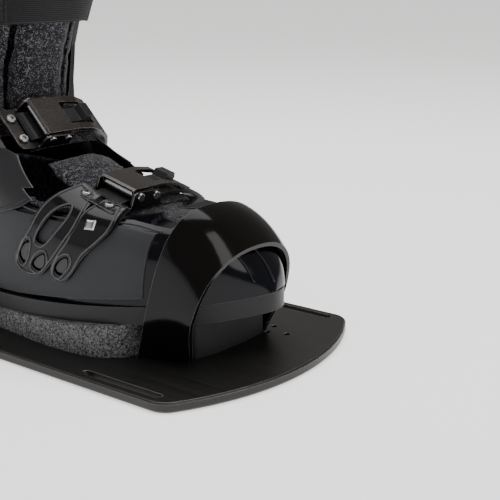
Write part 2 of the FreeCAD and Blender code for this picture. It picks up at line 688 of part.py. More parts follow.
def lever():
    """Ratchet lever: pressed plate with a thumb window, on two cheeks."""
    top = [(-30.0, LEVER_LOW), (-3.0, LEVER_LOW), (9.0, LEVER_LOW - 2.6),
           (20.0, LEVER_LOW - 6.6), (22.2, LEVER_LOW - 6.0), (10.5, LEVER_HIGH - 2.2),
           (-2.5, LEVER_HIGH), (-29.0, LEVER_HIGH), (-30.4, LEVER_HIGH - 0.9)]
    plate = across(top, LEVER_HALF)
    window = box(-8.8, 8.8, -8.0, 16.5, 2, 20)
    window = blended(window, 1.6, [e for e in window.Edges if e.BoundBox.ZLength > 5])
    plate = plate.cut(window)
    cheek = [(-30.4, LEVER_LOW + 0.5), (-29.4, 6.4), (-26.0, 5.1), (-22.6, 6.4),
             (-17.0, LEVER_LOW + 0.5)]
    for side in (-1, 1):
        wall = across(cheek, 0.75)
        wall.translate(Vector(side * 12.85, 0, 0))
        plate = plate.fuse(wall)
    plate = plate.cut(rod(PIN_RADIUS + FIT, 60, (-30, LEVER_PIN_Y, LEVER_PIN_H), (1, 0, 0)))
    return one_solid(plate)


def pawl():
    """Holding pawl with the release thumb tab that stands up through the lever."""
    y0, z0 = PAWL_PIN_Y, PAWL_PIN_H
    body = [(y0 - 0.8, z0 + 2.2), (y0 - 2.6, z0 + 0.2), (y0 - 2.6, z0 - 1.2), (y0 + 1.0, z0 - 2.0),
            (y0 + 7.4, z0 - 1.8), (y0 + 9.6, z0 - 2.0), (y0 + 9.4, z0 + 0.4),
            (y0 + 8.6, z0 + 1.8), (y0 + 2.0, z0 + 2.4)]
    tab = [(y0 + 6.0, z0 + 0.6), (y0 + 9.4, z0 - 1.2), (y0 + 20.0, z0 - 0.4),
           (y0 + 24.5, z0 + 0.6), (y0 + 27.2, z0 + 2.6), (y0 + 27.0, z0 + 5.8),
           (y0 + 20.5, z0 + 6.2), (y0 + 18.0, z0 + 2.2), (y0 + 8.4, z0 + 2.4)]
    part = across(body, 9.0).fuse(across(tab, 5.4))
    part = part.cut(rod(PIN_RADIUS + FIT, 60, (-30, y0, z0), (1, 0, 0)))
    return one_solid(part)


def pawl_spring(side):
    """Torsion spring coiled round the pawl pin beside the pawl."""
    turns, wire = 3, 0.35
    helix = Part.makeHelix(0.95, 0.95 * turns, 2.35)
    helix.rotate(Vector(0, 0, 0), Vector(0, 1, 0), 90)
    helix.translate(Vector(9.9 if side > 0 else -13.1, PAWL_PIN_Y, PAWL_PIN_H))
    start = helix.Edges[0].valueAt(helix.Edges[0].FirstParameter)
    heading = helix.Edges[0].tangentAt(helix.Edges[0].FirstParameter)
    ring = Part.Wire([Part.Circle(start, heading, wire).toShape()])
    return Part.Wire(helix.Edges).makePipeShell([ring], True, True)


def strap_point(spec, share, height):
    """Point (y, z) on the strap's medial quarter; share 0 is the crest, 1 the hem."""
    angle = math.pi / 2 * share
    power = 2.4
    base_y, base_z = spec["span"], spec["drop"]
    y = base_y * math.sin(angle) ** (2 / power)
    z = -base_z * (1 - math.cos(angle) ** (2 / power))
    ny = max(y, 1e-6) ** (power - 1) / base_y ** power
    nz = (z + base_z) ** (power - 1) / base_z ** power
    size = math.hypot(ny, nz)
    return y + height * ny / size, z + height * nz / size


def arch_line(spec, height, count, first=0.0):
    """Evenly stepped points of the medial quarter at a height above its base."""
    fine = [strap_point(spec, first + (1 - first) * i / 400, height) for i in range(401)]
    length = [0.0]
    for a, b in zip(fine, fine[1:]):
        length.append(length[-1] + math.dist(a, b))
    points = []
    for k in range(count + 1):
        goal = length[-1] * k / count
        i = min(range(401), key=lambda j: abs(length[j] - goal))
        points.append(fine[i])
    return points


def ladder_strap(spec):
    """Toothed strap from the buckle over the crest to the medial anchor."""
    inner = arch_line(spec, STRAP_LOW, 24)
    tail = -37.0
    teeth = []
    y = tail + 3.0
    while y < -0.5 - TOOTH_PITCH:
        teeth += [(y, STRAP_HIGH), (y + 0.7 * TOOTH_PITCH, STRAP_HIGH + TOOTH),
                  (y + 0.95 * TOOTH_PITCH, STRAP_HIGH)]
        y += TOOTH_PITCH
    outer_teeth = []
    toothed = arch_line(spec, STRAP_HIGH, 24)
    raised = arch_line(spec, STRAP_HIGH + TOOTH, 24)
    for i in range(1, 14):
        outer_teeth += [toothed[i], raised[i]]
    rest = toothed[14:]
    top = [(tail, STRAP_LOW + 0.8), (tail + 1.4, STRAP_HIGH)] + teeth + outer_teeth + rest
    profile = top + list(reversed(inner)) + [(tail + 1.0, STRAP_LOW)]
    strap = across(profile, STRAP_HALF)
    return one_solid(strap.cut(anchor_screw(spec)))


def lateral_half(spec):
    """The strap's other half, as a spec that the arch functions take."""
    return {"span": spec["lateral_span"], "drop": spec["lateral_drop"]}


def strap_pad(spec):
    """Soft pad under the buckle, over the crest."""
    low, high, steps = -2.6, -0.3, slice(0, 5)
    medial_in = arch_line(spec, low, 10)[steps]
    medial_out = arch_line(spec, high, 10)[steps]
    lateral_in = [(-y, z) for y, z in arch_line(lateral_half(spec), low, 10)[steps]]
    lateral_out = [(-y, z) for y, z in arch_line(lateral_half(spec), high, 10)[steps]]
    profile = list(reversed(lateral_out)) + medial_out[1:]
    profile += list(reversed(medial_in)) + lateral_in[1:]
    return across(profile, 15.0)


def side_strap(spec):
    """Moulded strap from under the buckle base down to the lateral side of the cuff."""
    low, high, first = 0.0, 2.2, 13
    inner = [(-y, z) for y, z in arch_line(lateral_half(spec), low, 24)[first:]]
    outer = [(-y, z) for y, z in arch_line(lateral_half(spec), high, 24)[first:]]
    strap = across(outer + list(reversed(inner)), 10.0)
    return one_solid(strap.cut(base_screws(spec["screw_x"])))


def anchor_screw(spec):
    """Button-head screw through the hem of the ladder strap."""
    y, z = spec["span"], -spec["drop"] + 7.0
    shank = rod(2.0, 12.0, (0, y - 6.5, z), (0, 1, 0))
    head = rod(4.4, 2.2, (0, y + STRAP_HIGH + 0.2, z), (0, 1, 0))
    rim = [e for e in head.Edges if abs(e.BoundBox.Center.y - (y + STRAP_HIGH + 2.4)) < 0.01]
    return one_solid(shank.fuse(blended(head, 1.2, rim)))


def base_screws(screw_x):
    group = []
    for x in screw_x:
        head = rod(3.4, 2.0, (x, -41.5, BASE_THICK), (0, 0, 1))
        rim = [e for e in head.Edges if abs(e.BoundBox.Center.z - BASE_THICK - 2.0) < 0.01]
        head = blended(head, 1.0, rim)
        shank = rod(1.6, 6.0, (x, -41.5, BASE_THICK - 6.0), (0, 0, 1))
        socket = rod(1.3, 1.2, (x, -41.5, BASE_THICK + 1.0), (0, 0, 1))
        group.append(one_solid(head.fuse(shank).cut(socket)))
    return Part.makeCompound(group)


def main():
    save("board_plate", board_plate())
    save("riser_wedge", riser_wedge())
    hood = toe_hood()
    save("toe_riser", one_solid(toe_riser().cut(hood)))
    save("sole_rand", sole_rand())
    save("mount_screws", screws_up(MOUNT_SCREWS))
    save("toe_screws", screws_up(TOE_SCREWS))
    save("toe_hood", hood)
    shell = lower_shell()
    save("lower_shell", shell)
    save("side_panel_lateral", side_panel(-1))
    anchor = placed(anchor_screw(INSTEP), INSTEP)
    save("side_panel_medial", one_solid(side_panel(1).cut(anchor)))
    save("heel_counter", heel_counter())
    save("liner_boot", liner_boot())
    save("tongue", tongue())
    arm_rear = arm(ARM_REAR, (ARM_REAR_WINDOW,) + ARM_REAR_KEYS)
    arm_front = arm(ARM_FRONT, (ARM_FRONT_KEY,)).cut(arm_rear)
    over_arms = (base_screws(INSTEP["screw_x"]), buckle_base(INSTEP["screw_x"]),
                 ladder_strap(INSTEP))
    for piece in over_arms:
        arm_rear = arm_rear.cut(placed(piece, INSTEP))
        arm_front = arm_front.cut(placed(piece, INSTEP))
    save("arm_rear", one_solid(arm_rear))
    save("arm_front", one_solid(arm_front))
    save("arm_studs", arm_studs())
    for name, spec in (("instep", INSTEP), ("ankle", ANKLE)):
        screw_x = spec["screw_x"]
        save(name + "_buckle_base", placed(buckle_base(screw_x), spec))
        save(name + "_lever", placed(lever(), spec))
        save(name + "_lever_sleeve", placed(lever_sleeve(), spec))
        save(name + "_lever_pin", placed(rivet_pin(LEVER_PIN_Y, LEVER_PIN_H), spec))
        save(name + "_pawl", placed(pawl(), spec))
        save(name + "_pawl_pin", placed(rivet_pin(PAWL_PIN_Y, PAWL_PIN_H), spec))
        springs = Part.makeCompound([pawl_spring(-1), pawl_spring(1)])
        save(name + "_pawl_springs", placed(springs, spec))
        save(name + "_ladder_strap", placed(ladder_strap(spec), spec))
        pad = placed(strap_pad(spec), spec)
        if name == "instep":
            pad = one_solid(pad.cut(skin(-3.9)).cut(shell))
        save(name + "_strap_pad", pad)
        save(name + "_anchor_screw", placed(anchor_screw(spec), spec))
        save(name + "_base_screws", placed(base_screws(screw_x), spec))
    save("ankle_side_strap", placed(side_strap(ANKLE), ANKLE))
    save("cuff", cuff())
    for side, word in ((-1, "lateral"), (1, "medial")):
        save("pivot_bush_" + word, pivot_bush(side))
        save("pivot_bolt_" + word, pivot_bolt(side))
    save("power_strap", power_strap())
    save("cuff_liner", cuff_liner())
    save("shin_tongue", shin_tongue())


if __name__ == "__main__":
    main()
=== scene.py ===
"""Plate-mounted binding boot: finishes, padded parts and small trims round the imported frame."""
import math

import bmesh
import bpy
from bpy.props import FloatProperty, FloatVectorProperty, IntProperty, PointerProperty
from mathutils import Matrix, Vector
from mathutils.bvhtree import BVHTree


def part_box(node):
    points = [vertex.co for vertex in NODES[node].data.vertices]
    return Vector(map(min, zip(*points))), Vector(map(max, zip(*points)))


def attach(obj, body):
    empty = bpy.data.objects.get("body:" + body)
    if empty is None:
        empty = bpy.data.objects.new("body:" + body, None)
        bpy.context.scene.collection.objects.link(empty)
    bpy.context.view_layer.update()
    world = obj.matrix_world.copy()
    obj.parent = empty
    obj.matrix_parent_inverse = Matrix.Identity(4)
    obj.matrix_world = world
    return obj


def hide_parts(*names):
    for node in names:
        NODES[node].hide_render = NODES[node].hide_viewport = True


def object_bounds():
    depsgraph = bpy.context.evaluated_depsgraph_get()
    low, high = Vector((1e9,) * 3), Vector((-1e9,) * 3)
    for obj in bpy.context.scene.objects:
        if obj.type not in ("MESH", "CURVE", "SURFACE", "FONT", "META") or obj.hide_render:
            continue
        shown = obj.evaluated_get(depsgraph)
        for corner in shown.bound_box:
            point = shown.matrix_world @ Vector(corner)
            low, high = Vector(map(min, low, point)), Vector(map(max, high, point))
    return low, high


bl_info = {
    "name": "Binding boot trims",
    "version": (1, 0, 0),
    "blender": (4, 5, 0),
    "location": "View3D > Sidebar > Binding boot",
    "description": "Finishes, padded parts and trims for a plate-mounted binding boot",
    "category": "Object",
}

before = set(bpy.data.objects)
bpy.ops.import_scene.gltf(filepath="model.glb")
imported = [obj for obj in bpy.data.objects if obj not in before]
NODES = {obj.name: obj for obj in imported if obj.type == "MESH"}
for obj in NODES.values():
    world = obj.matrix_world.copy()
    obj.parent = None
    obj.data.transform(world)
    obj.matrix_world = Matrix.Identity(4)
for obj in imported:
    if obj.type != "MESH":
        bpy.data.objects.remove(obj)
CAD_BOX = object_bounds()
MM = 0.001
BASE, CUFF = "base", "cuff_body"
CUFF_LOW, CUFF_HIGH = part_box("cuff")
STRAP_LOW, STRAP_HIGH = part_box("power_strap")


# ------------------------------------------------------------------ what a user would change
def colour(label, text, value):
    return FloatVectorProperty(name=label, description=text, default=value, size=3,
                               min=0.0, max=1.0, subtype="COLOR")


def length(label, text, value):
    return FloatProperty(name=label, description=text, default=value, min=0.0, unit="LENGTH")


class BootColours(bpy.types.PropertyGroup):
    """Colours of the boot's finishes."""

    alloy: colour("Plate alloy", "Dark brushed plate", (0.026, 0.0245, 0.0235))
    shell: colour("Shell", "Glossy shell and toe cap", (0.0016, 0.0020, 0.0042))
    hood: colour("Hood", "Glossy toe hood", (0.0016, 0.0014, 0.0013))
    panel: colour("Side panel", "Matte moulded side panel", (0.024, 0.0255, 0.029))
    rand: colour("Sole band", "Satin band round the sole", (0.0085, 0.0088, 0.0100))
    foam_dark: colour("Foam, dark", "Dark granules of the foam ramp", (0.010, 0.010, 0.011))
    foam_light: colour("Foam, light", "Light granules of the foam ramp", (0.34, 0.34, 0.35))
    textile: colour("Textile", "Ground of the padded textile", (0.0040, 0.0042, 0.0060))
    fleck: colour("Fleck", "Pale flecks in the padded textile", (0.20, 0.20, 0.23))
    metal: colour("Buckle metal", "Smoked polish of the buckles", (0.046, 0.042, 0.039))
    steel: colour("Steel", "Pins, screws and springs", (0.40, 0.40, 0.41))
    rubber: colour("Rubber", "Soft black rubber", (0.0060, 0.0060, 0.0070))


class BootSizes(bpy.types.PropertyGroup):
    """Sizes of the trims."""

    bead: length("Bead", "Radius of the moulded beads", 0.0006)
    stitch: length("Stitch", "Length of one stitch", 0.0034)
    stitch_gap: length("Stitch gap", "Space between stitches", 0.0016)
    thread: length("Thread", "Radius of the sewing thread", 0.00038)
    voxel: length("Padding step", "Mesh size of the padded parts", 0.0032)
    swell: length("Swell", "Most that padding may rise", 0.0022)
    frames: IntProperty(name="Swell steps", description="Steps of the padding simulation",
                        default=14, min=1, max=60)


class StudioSettings(bpy.types.PropertyGroup):
    """Camera place, direction and lens."""

    azimuth: FloatProperty(name="Azimuth", description="Camera direction round the boot",
                           default=math.radians(37.58), subtype="ANGLE")
    pitch: FloatProperty(name="Pitch", description="Downward tilt of the camera",
                         default=math.radians(15.40), subtype="ANGLE")
    lens: FloatProperty(name="Lens", description="Focal length", default=74.52,
                        unit="CAMERA")
    eye: FloatVectorProperty(name="Eye", description="Place of the camera", size=3,
                             default=(0.50521, -0.45855, 0.22821), subtype="TRANSLATION")


# ------------------------------------------------------------------ shader arithmetic
class Field:
    """A socket that takes part in Python arithmetic."""

    def __init__(self, finish, socket):
        self.finish = finish
        self.socket = socket

    def maths(self, operation, *values):
        return self.finish.node("ShaderNodeMath", {"operation": operation},
                                dict(enumerate(values)))

    def __add__(self, other):
        return self.maths("ADD", self, other)

    __radd__ = __add__

    def __rsub__(self, other):
        return self.maths("SUBTRACT", other, self)

    def __mul__(self, other):
        return self.maths("MULTIPLY", self, other)

    __rmul__ = __mul__

    def over(self, level, width):
        """0 below level, 1 above level + width."""
        return self.finish.node("ShaderNodeMapRange", {"clamp": True},
                                {0: self, 1: level, 2: level + width, 3: 0.0, 4: 1.0})


class Finish:
    """One material and the few node shapes that all the finishes share."""

    def __init__(self, name):
        self.material = bpy.data.materials.new(name)
        self.material.use_nodes = True
        self.tree = self.material.node_tree
        self.shader = self.tree.nodes["Principled BSDF"]

    def node(self, kind, settings=None, inputs=None, output=0):
        made = self.tree.nodes.new(kind)
        for key, value in (settings or {}).items():
            setattr(made, key, value)
        for key, value in (inputs or {}).items():
            if isinstance(value, Field):
                self.tree.links.new(value.socket, made.inputs[key])
            else:
                made.inputs[key].default_value = value
        return Field(self, made.outputs[output])

    def place(self, scale=(1.0, 1.0, 1.0)):
        where = self.node("ShaderNodeTexCoord", output=3)
        return self.node("ShaderNodeVectorMath", {"operation": "MULTIPLY"},
                         {0: where, 1: scale})

    def grain(self, scale, detail=3.0, stretch=(1.0, 1.0, 1.0)):
        return self.node("ShaderNodeTexNoise", {},
                         {"Vector": self.place(stretch), "Scale": scale, "Detail": detail})

    def cells(self, scale, output=0, stretch=(1.0, 1.0, 1.0)):
        return self.node("ShaderNodeTexVoronoi", {},
                         {"Vector": self.place(stretch), "Scale": scale}, output)

    def grey(self, tint):
        return self.node("ShaderNodeRGBToBW", {}, {0: tint})

    def waves(self, scale, direction, distortion=0.0):
        return self.node("ShaderNodeTexWave",
                         {"wave_type": "BANDS", "bands_direction": direction},
                         {"Vector": self.place(), "Scale": scale, "Distortion": distortion},
                         1)

    def blend(self, factor, low, high):
        low, high = [v if isinstance(v, Field) else (*v, 1.0) for v in (low, high)]
        return self.node("ShaderNodeMix", {"data_type": "RGBA"}, {0: factor, 6: low, 7: high},
                         2)

    def rounded(self, radius):
        return self.node("ShaderNodeBevel", {"samples": 4}, {"Radius": radius})

    def edges(self, radius, strength):
        """Near 1 along the solid's edges, 0 on its faces: the mask for the painted edge
        highlights.
        """
        flat = self.node("ShaderNodeNewGeometry", output=1)
        facing = self.node("ShaderNodeVectorMath", {"operation": "DOT_PRODUCT"},
                           {0: self.rounded(radius), 1: flat}, 1)
        return ((1 - facing) * strength).over(0.0, 1.0)

    def bump(self, height, depth, strength=1.0, under=None):
        inputs = {"Height": height, "Distance": depth, "Strength": strength}
        if under is not None:
            inputs["Normal"] = under
        return self.node("ShaderNodeBump", {}, inputs)

    def give(self, **sockets):
        """Sets or links the shader's sockets; underscores stand for spaces."""
        for key, value in sockets.items():
            socket = self.shader.inputs[key.replace("_", " ")]
            if isinstance(value, Field):
                self.tree.links.new(value.socket, socket)
            else:
                socket.default_value = value
        return self.material


def lighter(tint, share):
    return tuple(c + (1 - c) * share * min(1.0, 0.25 + 4.0 * c) for c in tint)


def darker(tint, share):
    return tuple(c * (1 - share) for c in tint)


# ------------------------------------------------------------------ finishes
def brushed_alloy(tints):
    """Dark plate with grain along its length and a bright edge: a painted highlight that also
    stands for edge wear.
    """
    f = Finish("brushed_dark_alloy")
    streak = f.grain(900.0, 4.0, (0.012, 1.0, 1.0))
    cloud = f.grain(9.0, 2.0)
    ground = f.blend(streak * 0.7 + cloud * 0.3, darker(tints.alloy, 0.45),
                     lighter(tints.alloy, 0.10))
    # painted highlight along the plate's edges, partly edge wear: the colour turns to (0.26,
    # 0.25, 0.24) there
    edge_highlight_and_wear = f.edges(0.0009, 3.2)
    return f.give(Base_Color=f.blend(edge_highlight_and_wear, ground, (0.26, 0.25, 0.24)), Metallic=0.85,
                  Roughness=0.30 + 0.18 * streak,
                  Normal=f.bump(streak, 0.00006, 0.6, f.rounded(0.0006)))


def granular_foam(tints):
    """Ramp foam pressed from grey granules."""
    f = Finish("granular_foam")
    grains = f.grey(f.cells(1150.0, 1))
    fine = f.grey(f.cells(2600.0, 1))
    mix = (grains * 0.65 + fine * 0.35).over(0.30, 0.45)
    ground = f.blend(mix, tints.foam_dark, darker(tints.foam_light, 0.35))
    sparks = fine.over(0.80, 0.08)
    pits = f.cells(1200.0)
    return f.give(Base_Color=f.blend(sparks, ground, tints.foam_light), Roughness=0.92,
                  Normal=f.bump(pits + f.grain(1800.0) * 0.4, 0.0005, 0.8,
                                f.rounded(0.0008)))


def glossy_moulding(name, tint, edge_highlight_tint, edge_highlight_strength=1.6):
    """Polished moulded plastic with faint haze and a painted highlight along its edges."""
    f = Finish(name)
    haze = f.grain(34.0, 5.0)
    scuffs = f.grain(420.0, 2.0, (0.25, 1.0, 1.0)).over(0.64, 0.12)
    # painted highlight: the colour turns to the given edge colour along the solid's edges
    edge_highlight = f.edges(0.0007, edge_highlight_strength)
    ground = f.blend(scuffs * 0.2, tint, lighter(tint, 0.02))
    return f.give(Base_Color=f.blend(edge_highlight, ground, edge_highlight_tint),
                  Roughness=0.09 + 0.09 * haze + 0.10 * scuffs, Coat_Weight=0.08,
                  Coat_Roughness=0.05, Specular_IOR_Level=0.16,
                  Normal=f.bump(f.grain(60.0, 2.0), 0.0002, 0.15, f.rounded(0.0006)))


def matte_moulding(name, tint, rough, edge_highlight_share=0.30, texture=0.00012):
    """Sparked moulding with a fine even texture and a painted highlight along its edges."""
    f = Finish(name)
    spark = f.grain(2600.0, 2.0)
    cloud = f.grain(14.0, 3.0)
    # painted highlight: the colour is lightened along the solid's edges
    edge_highlight = f.edges(0.0007, 2.4)
    ground = f.blend(cloud * 0.6 + spark * 0.4, darker(tint, 0.22), lighter(tint, 0.05))
    return f.give(Base_Color=f.blend(edge_highlight, ground, lighter(tint, edge_highlight_share)),
                  Roughness=rough + 0.14 * spark, Specular_IOR_Level=0.22,
                  Normal=f.bump(spark, texture, 0.7, f.rounded(0.0006)))


def flecked_textile(tints):
    """Brushed padding cloth, dark with pale flecks."""
    f = Finish("flecked_textile")
    speck = f.grey(f.cells(1900.0, 1))
    patch = f.grain(330.0, 3.0)
    flecks = (speck * 0.7 + patch * 0.5).over(0.72, 0.10)
    warp = f.waves(420.0, "X", 1.2)
    weft = f.waves(420.0, "Z", 1.2)
    weave = warp * 0.5 + weft * 0.5
    ground = f.blend(weave, darker(tints.textile, 0.4), lighter(tints.textile, 0.02))
    return f.give(Base_Color=f.blend(flecks * 0.75, ground, tints.fleck), Roughness=0.94,
                  Sheen_Weight=0.12, Sheen_Roughness=0.5, Specular_IOR_Level=0.2,
                  Normal=f.bump(weave * 0.6 + patch * 0.6, 0.0005, 0.8))


def ribbed_webbing(tints):
    f = Finish("ribbed_webbing")
    rib = f.waves(260.0, "Z", 0.2)
    twill = f.waves(300.0, "DIAGONAL", 0.3)
    weave = rib * 0.6 + twill * 0.4
    return f.give(Base_Color=f.blend(weave, darker(tints.textile, 0.3),
                                     lighter(tints.textile, 0.05)),
                  Roughness=0.80 + 0.1 * weave, Sheen_Weight=0.1,
                  Specular_IOR_Level=0.2,
                  Normal=f.bump(weave, 0.0004, 0.9))


def hook_cloth(tints):
    """Hook-and-loop face: a dense field of tiny hooks."""
    f = Finish("hook_cloth")
    hooks = f.cells(900.0)
    return f.give(Base_Color=f.blend(hooks.over(0.2, 0.5), lighter(tints.rubber, 0.05),
                                     darker(tints.rubber, 0.4)),
                  Roughness=0.9, Normal=f.bump(hooks, 0.0006, 1.0))


def smoked_metal(tints):
    """Polished dark plating of the buckles, with a painted highlight along its edges."""
    f = Finish("smoked_metal")
    swirl = f.grain(26.0, 4.0)
    hair = f.grain(1200.0, 3.0, (1.0, 0.05, 1.0))
    # painted highlight: the colour turns to (0.30, 0.285, 0.27) along the solid's edges
    edge_highlight = f.edges(0.0006, 2.6)
    ground = f.blend(swirl, darker(tints.metal, 0.35), lighter(tints.metal, 0.08))
    return f.give(Base_Color=f.blend(edge_highlight, ground, (0.30, 0.285, 0.27)), Metallic=0.92,
                  Roughness=0.17 + 0.10 * hair + 0.08 * swirl,
                  Normal=f.bump(hair, 0.00003, 0.4, f.rounded(0.0004)))


def turned_steel(tints):
    f = Finish("turned_steel")
    ring = f.grain(1500.0, 2.0)
    # painted highlight: the colour is lightened along the solid's edges
    edge_highlight = f.edges(0.0004, 2.2)
    ground = f.blend(ring, darker(tints.steel, 0.35), tints.steel)
    return f.give(Base_Color=f.blend(edge_highlight, ground, lighter(tints.steel, 0.5)), Metallic=1.0,
                  Roughness=0.20 + 0.14 * ring, Normal=f.bump(ring, 0.00004, 0.5))


def soft_rubber(tints):
    f = Finish("soft_rubber")
    bloom = f.grain(80.0, 4.0)
    pores = f.grain(2200.0, 2.0)
    return f.give(Base_Color=f.blend(bloom, tints.rubber, lighter(tints.rubber, 0.025)),
                  Roughness=0.58 + 0.2 * bloom,
                  Normal=f.bump(pores, 0.00015, 0.7, f.rounded(0.0006)))


def sewing_thread():
    f = Finish("sewing_thread")
    twist = f.waves(1500.0, "DIAGONAL", 0.5)
    return f.give(Base_Color=f.blend(twist, (0.10, 0.10, 0.105), (0.22, 0.22, 0.23)),
                  Roughness=0.7, Normal=f.bump(twist, 0.0001, 0.6))


FINISHES = {}


def prepare_finishes(tints):
    FINISHES.update(
        alloy=brushed_alloy(tints),
        foam=granular_foam(tints),
        # the third colour of each glossy finish is its painted edge highlight
        hood=glossy_moulding("hood_gloss", tints.hood, (0.34, 0.34, 0.35), 1.2),
        shell=glossy_moulding("shell_gloss", tints.shell, (0.10, 0.11, 0.13)),
        arm=glossy_moulding("arm_gloss", (0.0042, 0.0042, 0.0048), (0.22, 0.22, 0.23)),
        # the beads' mid grey, paler than the black arms and shell, is a painted highlight along
        # the rims
        bead=glossy_moulding("bead_painted_highlight", (0.060, 0.061, 0.065), (0.30, 0.30, 0.31)),
        panel=matte_moulding("panel_matte", tints.panel, 0.50, 0.5),
        rand=matte_moulding("rand_satin", tints.rand, 0.30, 0.6),
        stud=matte_moulding("stud_satin", (0.034, 0.034, 0.037), 0.36, 0.5),
        strap=matte_moulding("strap_satin", (0.0045, 0.0045, 0.0052), 0.26, 0.5),
        cuff=matte_moulding("cuff_satin", (0.0085, 0.0090, 0.0110), 0.30, 0.5),
        textile=flecked_textile(tints),
        webbing=ribbed_webbing(tints),
        hooks=hook_cloth(tints),
        metal=smoked_metal(tints),
        steel=turned_steel(tints),
        rubber=soft_rubber(tints),
        thread=sewing_thread(),
    )


NODE_FINISH = {
    "alloy": ("board_plate",),
    "foam": ("riser_wedge",),
    "rubber": ("toe_riser",),
    "rand": ("sole_rand",),
    "steel": ("mount_screws", "toe_screws", "pivot_bolt_lateral", "pivot_bolt_medial"),
    "hood": ("toe_hood",),
    "shell": ("lower_shell",),
    "panel": ("side_panel_lateral", "side_panel_medial", "heel_counter"),
    "arm": ("arm_rear", "arm_front", "ankle_side_strap"),
    "stud": ("arm_studs", "pivot_bush_lateral", "pivot_bush_medial"),
    "cuff": ("cuff",),
}
BUCKLE_FINISH = {
    "metal": ("buckle_base", "lever"),
    "steel": ("lever_sleeve", "lever_pin", "pawl_pin", "pawl_springs", "anchor_screw",
              "base_screws"),
    "strap": ("ladder_strap", "pawl"),
}


# ------------------------------------------------------------------ meshes
def new_piece(name, verts, faces, body, finish, slot, smooth=True):
    mesh = bpy.data.meshes.new(name)
    mesh.from_pydata([tuple(v) for v in verts], [], faces)
    return finish_piece(mesh, name, body, finish, smooth)


def finish_piece(mesh, name, body, finish, smooth=True):
    work = bmesh.new()
    work.from_mesh(mesh)
    bmesh.ops.recalc_face_normals(work, faces=work.faces)
    work.to_mesh(mesh)
    work.free()
    mesh.polygons.foreach_set("use_smooth", [smooth] * len(mesh.polygons))
    obj = bpy.data.objects.new(name, mesh)
    bpy.context.scene.collection.objects.link(obj)
    mesh.materials.clear()
    mesh.materials.append(FINISHES[finish])
    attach(obj, body)
    return obj


class Surface:
    """The faces of some nodes, for laying trims on them."""

    def __init__(self, *nodes):
        verts, faces = [], []
        for node in nodes:
            mesh = NODES[node].data
            start = len(verts)
            verts += [v.co.copy() for v in mesh.vertices]
            faces += [[start + i for i in p.vertices] for p in mesh.polygons]
        self.tree = BVHTree.FromPolygons(verts, faces)

    def meet(self, origin, heading):
        """Outer point and normal on a line, or None where it passes the solids by."""
        point, normal, _, _ = self.tree.ray_cast(origin, heading)
        if point is None:
            return None
        if normal.dot(heading) > 0:
            normal = -normal
        return point, normal


def curve_through(points, closed=True, steps=6):
    """Even Catmull-Rom line through plan points."""
    count = len(points)
    line = []
    spans = count if closed else count - 1
    for i in range(spans):
        if closed:
            quad = [points[(i + k) % count] for k in (-1, 0, 1, 2)]
        else:
            quad = [points[min(max(i + k, 0), count - 1)] for k in (-1, 0, 1, 2)]
        for s in range(steps):
            t = s / steps
            weights = (-t + 2 * t * t - t ** 3, 2 - 5 * t * t + 3 * t ** 3,
                       t + 4 * t * t - 3 * t ** 3, -t * t + t ** 3)
            line.append(tuple(0.5 * sum(w * p[a] for w, p in zip(weights, quad))
                              for a in range(len(points[0]))))
    if not closed:
        line.append(tuple(points[-1]))
    return line


def grown(outline, by):
    """Outline moved outward from its middle by a length."""
    cx = sum(p[0] for p in outline) / len(outline)
    cz = sum(p[1] for p in outline) / len(outline)
    out = []
    for x, z in outline:
        reach = math.hypot(x - cx, z - cz)
        out.append((cx + (x - cx) * (1 + by / reach), cz + (z - cz) * (1 + by / reach)))
    return out


def hits(found):
    return [hit for hit in found if hit]


def lay_side(surface, line, side):
    """Line of (x, z) in millimetres laid on the lateral (-1) or medial (1) face."""
    return hits(surface.meet(Vector((x * MM, side * 0.15, z * MM)), Vector((0, -side, 0)))
                for x, z in line)


def lay_top(surface, line):
    """Line of (x, y) in millimetres laid on the upper face."""
    return hits(surface.meet(Vector((x * MM, y * MM, 0.4)), Vector((0, 0, -1)))
                for x, y in line)


def lay_front(surface, line):
    """Line of (y, z) in millimetres laid on the toe's face."""
    return hits(surface.meet(Vector((0.4, y * MM, z * MM)), Vector((-1, 0, 0)))
                for y, z in line)


def bead(line, radius, closed, rise=0.2, sides=8):
    """Half-sunk round bead along a laid line: vertices and faces."""
    verts, faces = [], []
    count = len(line)
    for i, (point, normal) in enumerate(line):
        if closed:
            ahead, behind = line[(i + 1) % count][0], line[i - 1][0]
        else:
            ahead, behind = line[min(i + 1, count - 1)][0], line[max(i - 1, 0)][0]
        side = normal.cross(ahead - behind).normalized()
        thick = radius
        if not closed and i in (0, count - 1):
            thick = radius * 0.3
        for k in range(sides):
            turn = 2 * math.pi * k / sides
            verts.append(point + normal * (rise * radius + thick * math.sin(turn))
                         + side * (thick * math.cos(turn)))
    spans = count if closed else count - 1
    for i in range(spans):
        a, b = i * sides, ((i + 1) % count) * sides
        faces += [(a + k, a + (k + 1) % sides, b + (k + 1) % sides, b + k)
                  for k in range(sides)]
    if not closed:
        faces.append(tuple(range(sides)))
        faces.append(tuple(range((count - 1) * sides, count * sides)))
    return verts, faces


def spaced(line, step):
    """The laid line resampled at an even step, as (point, normal, heading)."""
    out, left = [], 0.0
    for (a, na), (b, nb) in zip(line, line[1:]):
        span = (b - a).length
        if span < 1e-7:
            continue
        while left < span:
            share = left / span
            out.append((a.lerp(b, share), na.lerp(nb, share).normalized(),
                        (b - a).normalized()))
            left += step
        left -= span
    return out


